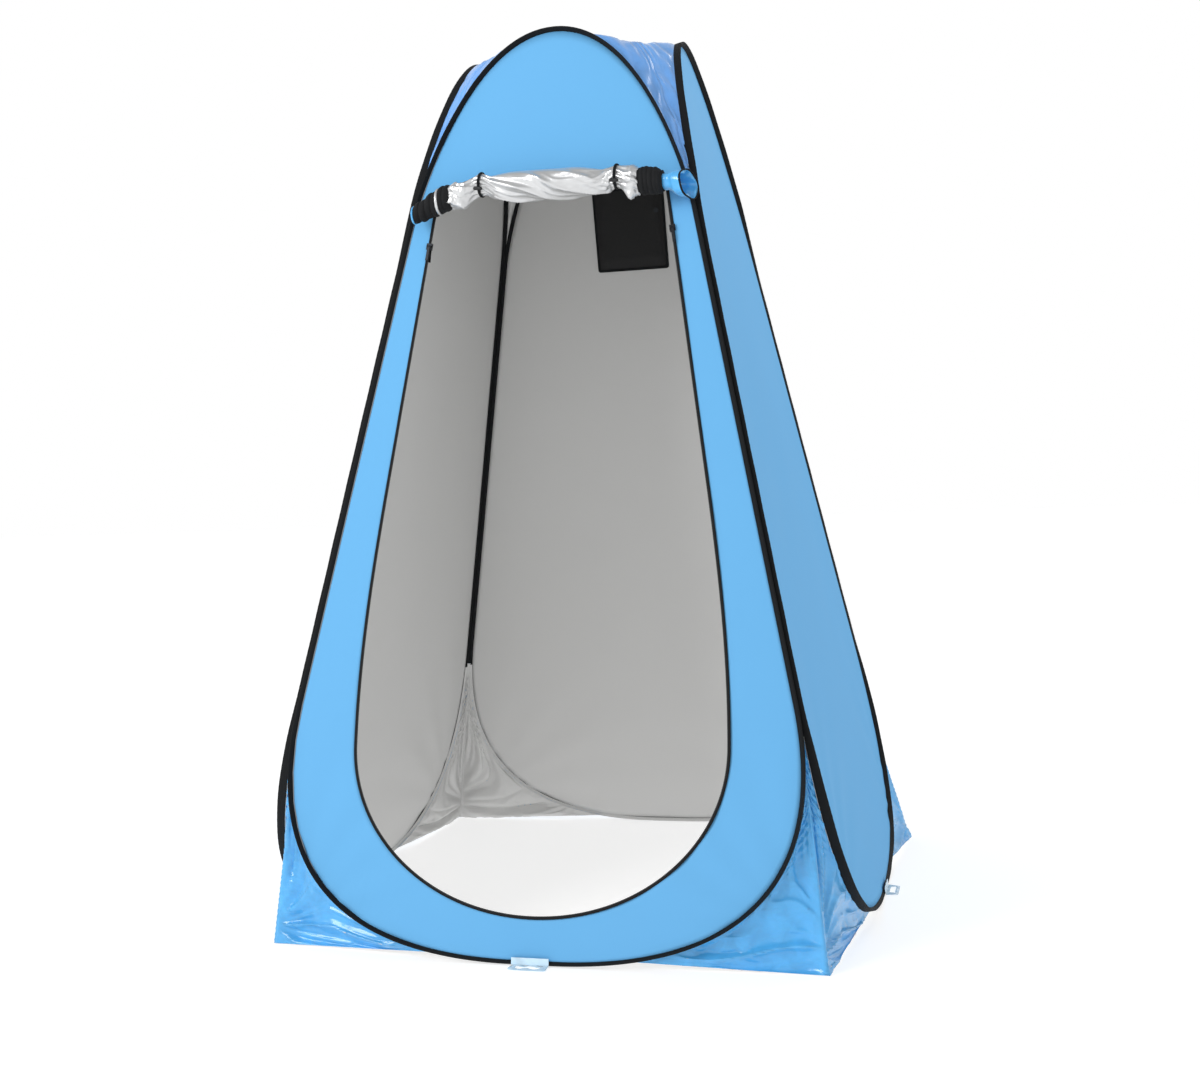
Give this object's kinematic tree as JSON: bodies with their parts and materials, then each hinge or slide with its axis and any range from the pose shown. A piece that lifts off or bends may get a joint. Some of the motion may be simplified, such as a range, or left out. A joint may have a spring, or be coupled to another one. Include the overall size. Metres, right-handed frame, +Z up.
{
  "type": "privacy shower tent",
  "caption": "Pop-up privacy shower and changing tent with leaning spring-hoop walls, an egg-shaped doorway, a rolled-up door and no floor.",
  "frame": {"origin": "centre of the footprint, on the ground", "axes": "+Z up, -Y out through the doorway, +X to the right of someone facing the doorway"},
  "size_m": [1.3168, 1.3168, 1.9],
  "materials": {
    "polyester_blue": "matt coated polyester",
    "satin_blue": "shiny creased polyester",
    "binding_black": "woven binding tape",
    "silver_coating": "silver coated polyester",
    "spring_steel": "oiled spring steel",
    "zip_tape": "zip tape and coil",
    "zip_metal": "black lacquered zinc",
    "toggle_plastic": "moulded plastic",
    "pocket_mesh": "close knitted mesh",
    "peg_tab_tape": "light tape"
  },
  "bodies": {
    "back_panel": {"back_hoop_wire": "spring_steel", "back_hoop_ferrule": "spring_steel", "back_hoop_sleeve": "binding_black", "back_wall": "polyester_blue", "back_gusset_left": "satin_blue", "back_gusset_right": "satin_blue", "back_peg_tab": "peg_tab_tape", "back_roof_gore": "satin_blue", "wall_pocket": "pocket_mesh", "pocket_binding": "pocket_mesh", "pocket_snap": "zip_metal"},
    "left_panel": {"left_hoop_wire": "spring_steel", "left_hoop_ferrule": "spring_steel", "left_hoop_sleeve": "binding_black", "left_wall": "polyester_blue", "left_gusset_left": "satin_blue", "left_gusset_right": "satin_blue", "left_peg_tab": "peg_tab_tape", "left_roof_gore": "satin_blue"},
    "right_panel": {"right_hoop_wire": "spring_steel", "right_hoop_ferrule": "spring_steel", "right_hoop_sleeve": "binding_black", "right_wall": "polyester_blue", "right_gusset_left": "satin_blue", "right_gusset_right": "satin_blue", "right_peg_tab": "peg_tab_tape", "right_roof_gore": "satin_blue"},
    "front_panel": {"front_hoop_wire": "spring_steel", "front_hoop_ferrule": "spring_steel", "front_hoop_sleeve": "binding_black", "front_wall": "polyester_blue", "front_gusset_left": "satin_blue", "front_gusset_right": "satin_blue", "front_peg_tab": "peg_tab_tape", "front_roof_gore": "satin_blue", "doorway_zip": "zip_tape", "door_roll": "silver_coating", "door_zip_winding_left": "zip_tape", "door_zip_winding_right": "zip_tape", "door_roll_cuff": "satin_blue", "door_tie_left": "binding_black", "door_tie_right": "binding_black", "door_toggle_left": "toggle_plastic", "door_toggle_right": "toggle_plastic"},
    "zip_slider_left_body": {"zip_slider_left": "zip_metal"},
    "zip_pull_outer_left_body": {"zip_pull_outer_left": "zip_metal"},
    "zip_pull_inner_left_body": {"zip_pull_inner_left": "zip_metal"},
    "zip_slider_right_body": {"zip_slider_right": "zip_metal"},
    "zip_pull_outer_right_body": {"zip_pull_outer_right": "zip_metal"},
    "zip_pull_inner_right_body": {"zip_pull_inner_right": "zip_metal"}
  },
  "joints": [
    {"name": "left_fold", "type": "hinge", "parent": "back_panel", "child": "left_panel", "pos_m": [-0.61974, 0.61974, 0], "axis": [0.1987, -0.1987, 0.9597], "range_deg": [0, 86], "stiffness_Nm_per_rad": 6, "deforming": ["left_roof_gore", "back_roof_gore"]},
    {"name": "right_fold", "type": "hinge", "parent": "back_panel", "child": "right_panel", "pos_m": [0.61974, 0.61974, 0], "axis": [-0.1987, -0.1987, 0.9597], "range_deg": [0, 84], "stiffness_Nm_per_rad": 6, "deforming": ["right_roof_gore"]},
    {"name": "front_fold", "type": "hinge", "parent": "right_panel", "child": "front_panel", "pos_m": [0.61974, -0.61974, 0], "axis": [-0.1987, 0.1987, 0.9597], "range_deg": [-86.5, 0], "stiffness_Nm_per_rad": 6, "deforming": ["front_roof_gore"]},
    {"name": "zip_slider_left_travel", "type": "slide", "parent": "front_panel", "child": "zip_slider_left_body", "axis": [-0.1417, -0.2007, -0.9693], "range_m": [0, 0.5]},
    {"name": "zip_pull_outer_left_swing", "type": "hinge", "parent": "zip_slider_left_body", "child": "zip_pull_outer_left_body", "pos_m": [-0.26473, -0.3313, 1.44241], "axis": [0.9899, -0.0287, -0.1387], "range_deg": [-150, 0]},
    {"name": "zip_pull_inner_left_swing", "type": "hinge", "parent": "zip_slider_left_body", "child": "zip_pull_inner_left_body", "pos_m": [-0.26473, -0.3217, 1.44042], "axis": [0.9899, -0.0287, -0.1387], "range_deg": [-8, 150]},
    {"name": "zip_slider_right_travel", "type": "slide", "parent": "front_panel", "child": "zip_slider_right_body", "axis": [0.1417, -0.2007, -0.9693], "range_m": [0, 0.5]},
    {"name": "zip_pull_outer_right_swing", "type": "hinge", "parent": "zip_slider_right_body", "child": "zip_pull_outer_right_body", "pos_m": [0.26473, -0.3313, 1.44241], "axis": [0.9899, 0.0287, 0.1387], "range_deg": [-150, 0]},
    {"name": "zip_pull_inner_right_swing", "type": "hinge", "parent": "zip_slider_right_body", "child": "zip_pull_inner_right_body", "pos_m": [0.26473, -0.3217, 1.44042], "axis": [0.9899, 0.0287, 0.1387], "range_deg": [-8, 150]}
  ],
  "couplings": [
    {"joint": "right_fold", "follows": "left_fold", "ratio": 0.9704},
    {"joint": "front_fold", "follows": "left_fold", "ratio": -1}
  ]
}
